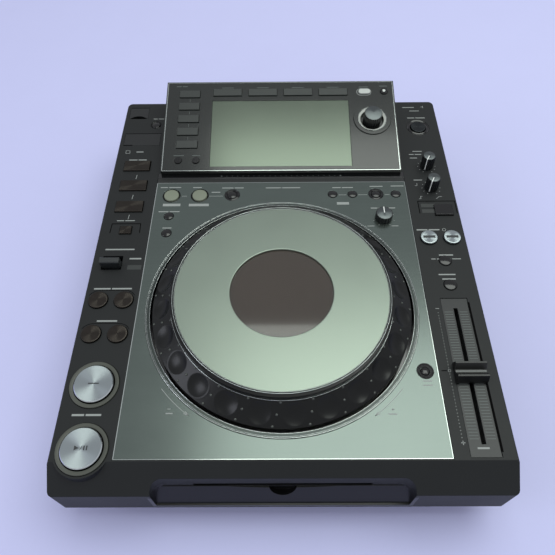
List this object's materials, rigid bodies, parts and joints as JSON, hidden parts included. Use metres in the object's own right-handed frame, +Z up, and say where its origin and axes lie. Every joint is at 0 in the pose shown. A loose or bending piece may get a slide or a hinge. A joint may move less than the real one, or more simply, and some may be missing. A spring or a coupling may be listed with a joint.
{
  "type": "tabletop dj disc player",
  "caption": "Tabletop player for DJs: flat case with a large turning jog wheel, tilted display, tempo fader, rails of press buttons and a disc slot in the front.",
  "frame": {"origin": "on the table, under the middle of the whole player's outline", "axes": "+X to the right, +Y to the rear, +Z up; the disc slot faces -Y"},
  "size_m": [0.32, 0.4052, 0.1066],
  "materials": {
    "cover_grey": "fine matte texture",
    "pan_steel": "satin black paint",
    "plate_metal": "hairline brushed, dark anodised",
    "gloss_black": "high gloss",
    "display_grey": "glossy dark grey",
    "screen_glass": "dark mirror",
    "dish_black": "polished lip",
    "wheel_black": "satin",
    "silver": "satin spun",
    "clear_acrylic": "clear",
    "drive_steel": "plain sheet",
    "fader_black": "satin",
    "knob_grey": "satin",
    "cap_metal": "spun metal finish",
    "cream": "translucent",
    "key_black": "gloss",
    "board_green": "board and moulded sockets",
    "rubber_black": "matt"
  },
  "bodies": {
    "case": {"bottom_chassis": "pan_steel", "top_cover": "cover_grey", "deck_plate": "plate_metal", "needle_strip": "gloss_black", "display_housing": "display_grey", "display_panel": "display_grey", "lcd_screen": "screen_glass", "jog_dish": "dish_black", "slot_bezel": "gloss_black", "well_insert": "key_black", "disc_drive": "drive_steel", "tempo_fader": "fader_black", "connector_board": "board_green", "ac_inlet": "key_black", "rubber_feet": "rubber_black"},
    "jog_wheel": {"jog_ring": "wheel_black"},
    "jog_top": {"jog_silver": "silver", "jog_platter": "clear_acrylic"},
    "tempo_knob": {"tempo_knob": "knob_grey"},
    "direction_lever": {"direction_lever": "knob_grey"},
    "cue_button": {"cue_button": "cap_metal"},
    "play_button": {"play_button": "cap_metal"},
    "search_back_button": {"search_back_button": "key_black"},
    "search_forward_button": {"search_forward_button": "key_black"},
    "track_back_button": {"track_back_button": "key_black"},
    "track_forward_button": {"track_forward_button": "key_black"},
    "usb_stop_button": {"usb_stop_button": "key_black"},
    "master_tempo_button": {"master_tempo_button": "key_black"},
    "tempo_range_button": {"tempo_range_button": "key_black"},
    "sync_button": {"sync_button": "cap_metal"},
    "master_button": {"master_button": "cap_metal"},
    "eject_button": {"eject_button": "cap_metal"},
    "loop_in_button": {"loop_in_button": "cream"},
    "loop_out_button": {"loop_out_button": "cream"},
    "reloop_button": {"reloop_button": "key_black"},
    "loop_mode_button": {"loop_mode_button": "key_black"},
    "slip_button": {"slip_button": "key_black"},
    "call_back_button": {"call_back_button": "key_black"},
    "call_forward_button": {"call_forward_button": "key_black"},
    "delete_button": {"delete_button": "key_black"},
    "memory_button": {"memory_button": "key_black"},
    "tempo_reset_button": {"tempo_reset_button": "key_black"},
    "hot_cue_3_key": {"hot_cue_3_key": "key_black"},
    "hot_cue_2_key": {"hot_cue_2_key": "key_black"},
    "hot_cue_1_key": {"hot_cue_1_key": "key_black"},
    "record_call_key": {"record_call_key": "key_black"},
    "jog_mode_key": {"jog_mode_key": "key_black"},
    "time_mode_button": {"time_mode_button": "key_black"},
    "quantize_button": {"quantize_button": "key_black"},
    "tag_button": {"tag_button": "key_black"},
    "back_button": {"back_button": "key_black"},
    "media_keys": {"media_keys": "key_black"},
    "browse_keys": {"browse_keys": "key_black"},
    "touch_knob": {"touch_knob": "knob_grey"},
    "release_knob": {"release_knob": "knob_grey"},
    "jog_adjust_knob": {"jog_adjust_knob": "knob_grey"},
    "selector_knob": {"selector_knob": "knob_grey"},
    "usb_lid": {"usb_lid": "key_black"},
    "sd_door": {"sd_door": "key_black"},
    "power_button": {"power_button": "knob_grey"}
  },
  "joints": [
    {"name": "jog_turn", "type": "hinge", "parent": "case", "child": "jog_wheel", "pos_m": [0, -0.0591, 0.0775], "axis": [0, 0, 1], "continuous": true},
    {"name": "jog_touch", "type": "slide", "parent": "jog_wheel", "child": "jog_top", "axis": [0, 0, 1], "range_m": [-0.0005, 0], "stiffness_N_per_m": 6000, "springref_m": 0.0005},
    {"name": "tempo_slide", "type": "slide", "parent": "case", "child": "tempo_knob", "axis": [0, 1, 0], "range_m": [-0.0477, 0.0523]},
    {"name": "direction_tilt", "type": "hinge", "parent": "case", "child": "direction_lever", "pos_m": [-0.1432, -0.0167, 0.0635], "axis": [1, 0, 0], "range_deg": [-16, 0]},
    {"name": "cue_press", "type": "slide", "parent": "case", "child": "cue_button", "axis": [0, 0, 1], "range_m": [-0.001, 0], "stiffness_N_per_m": 600, "springref_m": 0.001},
    {"name": "play_press", "type": "slide", "parent": "case", "child": "play_button", "axis": [0, 0, 1], "range_m": [-0.001, 0], "stiffness_N_per_m": 600, "springref_m": 0.001},
    {"name": "search_back_press", "type": "slide", "parent": "case", "child": "search_back_button", "axis": [0, 0, 1], "range_m": [-0.0008, 0], "stiffness_N_per_m": 300, "springref_m": 0.0005},
    {"name": "search_forward_press", "type": "slide", "parent": "case", "child": "search_forward_button", "axis": [0, 0, 1], "range_m": [-0.0008, 0], "stiffness_N_per_m": 300, "springref_m": 0.0005},
    {"name": "track_back_press", "type": "slide", "parent": "case", "child": "track_back_button", "axis": [0, 0, 1], "range_m": [-0.0008, 0], "stiffness_N_per_m": 300, "springref_m": 0.0005},
    {"name": "track_forward_press", "type": "slide", "parent": "case", "child": "track_forward_button", "axis": [0, 0, 1], "range_m": [-0.0008, 0], "stiffness_N_per_m": 300, "springref_m": 0.0005},
    {"name": "usb_stop_press", "type": "slide", "parent": "case", "child": "usb_stop_button", "axis": [0, 0, 1], "range_m": [-0.0008, 0], "stiffness_N_per_m": 300, "springref_m": 0.0005},
    {"name": "master_tempo_press", "type": "slide", "parent": "case", "child": "master_tempo_button", "axis": [0, 0, 1], "range_m": [-0.0008, 0], "stiffness_N_per_m": 300, "springref_m": 0.0005},
    {"name": "tempo_range_press", "type": "slide", "parent": "case", "child": "tempo_range_button", "axis": [0, 0, 1], "range_m": [-0.0008, 0], "stiffness_N_per_m": 300, "springref_m": 0.0005},
    {"name": "sync_press", "type": "slide", "parent": "case", "child": "sync_button", "axis": [0, 0, 1], "range_m": [-0.0008, 0], "stiffness_N_per_m": 300, "springref_m": 0.0005},
    {"name": "master_press", "type": "slide", "parent": "case", "child": "master_button", "axis": [0, 0, 1], "range_m": [-0.0008, 0], "stiffness_N_per_m": 300, "springref_m": 0.0005},
    {"name": "eject_press", "type": "slide", "parent": "case", "child": "eject_button", "axis": [0, 0, 1], "range_m": [-0.0008, 0], "stiffness_N_per_m": 300, "springref_m": 0.0005},
    {"name": "loop_in_press", "type": "slide", "parent": "case", "child": "loop_in_button", "axis": [0, 0, 1], "range_m": [-0.0008, 0], "stiffness_N_per_m": 300, "springref_m": 0.0005},
    {"name": "loop_out_press", "type": "slide", "parent": "case", "child": "loop_out_button", "axis": [0, 0, 1], "range_m": [-0.0008, 0], "stiffness_N_per_m": 300, "springref_m": 0.0005},
    {"name": "reloop_press", "type": "slide", "parent": "case", "child": "reloop_button", "axis": [0, 0, 1], "range_m": [-0.0008, 0], "stiffness_N_per_m": 300, "springref_m": 0.0005},
    {"name": "loop_mode_press", "type": "slide", "parent": "case", "child": "loop_mode_button", "axis": [0, 0, 1], "range_m": [-0.0008, 0], "stiffness_N_per_m": 300, "springref_m": 0.0005},
    {"name": "slip_press", "type": "slide", "parent": "case", "child": "slip_button", "axis": [0, 0, 1], "range_m": [-0.0008, 0], "stiffness_N_per_m": 300, "springref_m": 0.0005},
    {"name": "call_back_press", "type": "slide", "parent": "case", "child": "call_back_button", "axis": [0, 0, 1], "range_m": [-0.0008, 0], "stiffness_N_per_m": 300, "springref_m": 0.0005},
    {"name": "call_forward_press", "type": "slide", "parent": "case", "child": "call_forward_button", "axis": [0, 0, 1], "range_m": [-0.0008, 0], "stiffness_N_per_m": 300, "springref_m": 0.0005},
    {"name": "delete_press", "type": "slide", "parent": "case", "child": "delete_button", "axis": [0, 0, 1], "range_m": [-0.0008, 0], "stiffness_N_per_m": 300, "springref_m": 0.0005},
    {"name": "memory_press", "type": "slide", "parent": "case", "child": "memory_button", "axis": [0, 0, 1], "range_m": [-0.0008, 0], "stiffness_N_per_m": 300, "springref_m": 0.0005},
    {"name": "tempo_reset_press", "type": "slide", "parent": "case", "child": "tempo_reset_button", "axis": [0, 0, 1], "range_m": [-0.0008, 0], "stiffness_N_per_m": 300, "springref_m": 0.0005},
    {"name": "hot_cue_3_press", "type": "slide", "parent": "case", "child": "hot_cue_3_key", "axis": [0, 0, 1], "range_m": [-0.0008, 0], "stiffness_N_per_m": 300, "springref_m": 0.0005},
    {"name": "hot_cue_2_press", "type": "slide", "parent": "case", "child": "hot_cue_2_key", "axis": [0, 0, 1], "range_m": [-0.0008, 0], "stiffness_N_per_m": 300, "springref_m": 0.0005},
    {"name": "hot_cue_1_press", "type": "slide", "parent": "case", "child": "hot_cue_1_key", "axis": [0, 0, 1], "range_m": [-0.0008, 0], "stiffness_N_per_m": 300, "springref_m": 0.0005},
    {"name": "record_call_press", "type": "slide", "parent": "case", "child": "record_call_key", "axis": [0, 0, 1], "range_m": [-0.0008, 0], "stiffness_N_per_m": 300, "springref_m": 0.0005},
    {"name": "jog_mode_press", "type": "slide", "parent": "case", "child": "jog_mode_key", "axis": [0, 0, 1], "range_m": [-0.0008, 0], "stiffness_N_per_m": 300, "springref_m": 0.0005},
    {"name": "time_mode_press", "type": "slide", "parent": "case", "child": "time_mode_button", "axis": [0, -0.2244, 0.9745], "range_m": [-0.0005, 0], "stiffness_N_per_m": 300, "springref_m": 0.0005},
    {"name": "quantize_press", "type": "slide", "parent": "case", "child": "quantize_button", "axis": [0, -0.2244, 0.9745], "range_m": [-0.0005, 0], "stiffness_N_per_m": 300, "springref_m": 0.0005},
    {"name": "tag_press", "type": "slide", "parent": "case", "child": "tag_button", "axis": [0, -0.2244, 0.9745], "range_m": [-0.0005, 0], "stiffness_N_per_m": 300, "springref_m": 0.0005},
    {"name": "back_press", "type": "slide", "parent": "case", "child": "back_button", "axis": [0, -0.2244, 0.9745], "range_m": [-0.0005, 0], "stiffness_N_per_m": 300, "springref_m": 0.0005},
    {"name": "media_keys_press", "type": "slide", "parent": "case", "child": "media_keys", "axis": [0, -0.2244, 0.9745], "range_m": [-0.0005, 0], "stiffness_N_per_m": 600, "springref_m": 0.0005},
    {"name": "browse_keys_press", "type": "slide", "parent": "case", "child": "browse_keys", "axis": [0, -0.2244, 0.9745], "range_m": [-0.0005, 0], "stiffness_N_per_m": 600, "springref_m": 0.0005},
    {"name": "touch_turn", "type": "hinge", "parent": "case", "child": "touch_knob", "pos_m": [0.1392, 0.095, 0.0775], "axis": [0, 0, 1], "range_deg": [-300, 0]},
    {"name": "release_turn", "type": "hinge", "parent": "case", "child": "release_knob", "pos_m": [0.1392, 0.067, 0.0775], "axis": [0, 0, 1], "range_deg": [-300, 0]},
    {"name": "jog_adjust_turn", "type": "hinge", "parent": "case", "child": "jog_adjust_knob", "pos_m": [0.0914, 0.0314, 0.0775], "axis": [0, 0, 1], "range_deg": [-150, 150]},
    {"name": "selector_turn", "type": "hinge", "parent": "case", "child": "selector_knob", "pos_m": [0.0896, 0.14203, 0.0955], "axis": [0, -0.2244, 0.9745], "continuous": true},
    {"name": "usb_lid_open", "type": "hinge", "parent": "case", "child": "usb_lid", "pos_m": [-0.1463, 0.18225, 0.0765], "axis": [1, 0, 0], "range_deg": [-95, 0]},
    {"name": "card_door_open", "type": "hinge", "parent": "case", "child": "sd_door", "pos_m": [-0.1379, 0.14285, 0.0765], "axis": [1, 0, 0], "range_deg": [-95, 0]},
    {"name": "power_press", "type": "slide", "parent": "case", "child": "power_button", "axis": [0, 1, 0], "range_m": [-0.003, 0], "stiffness_N_per_m": 500, "springref_m": 0.001}
  ]
}
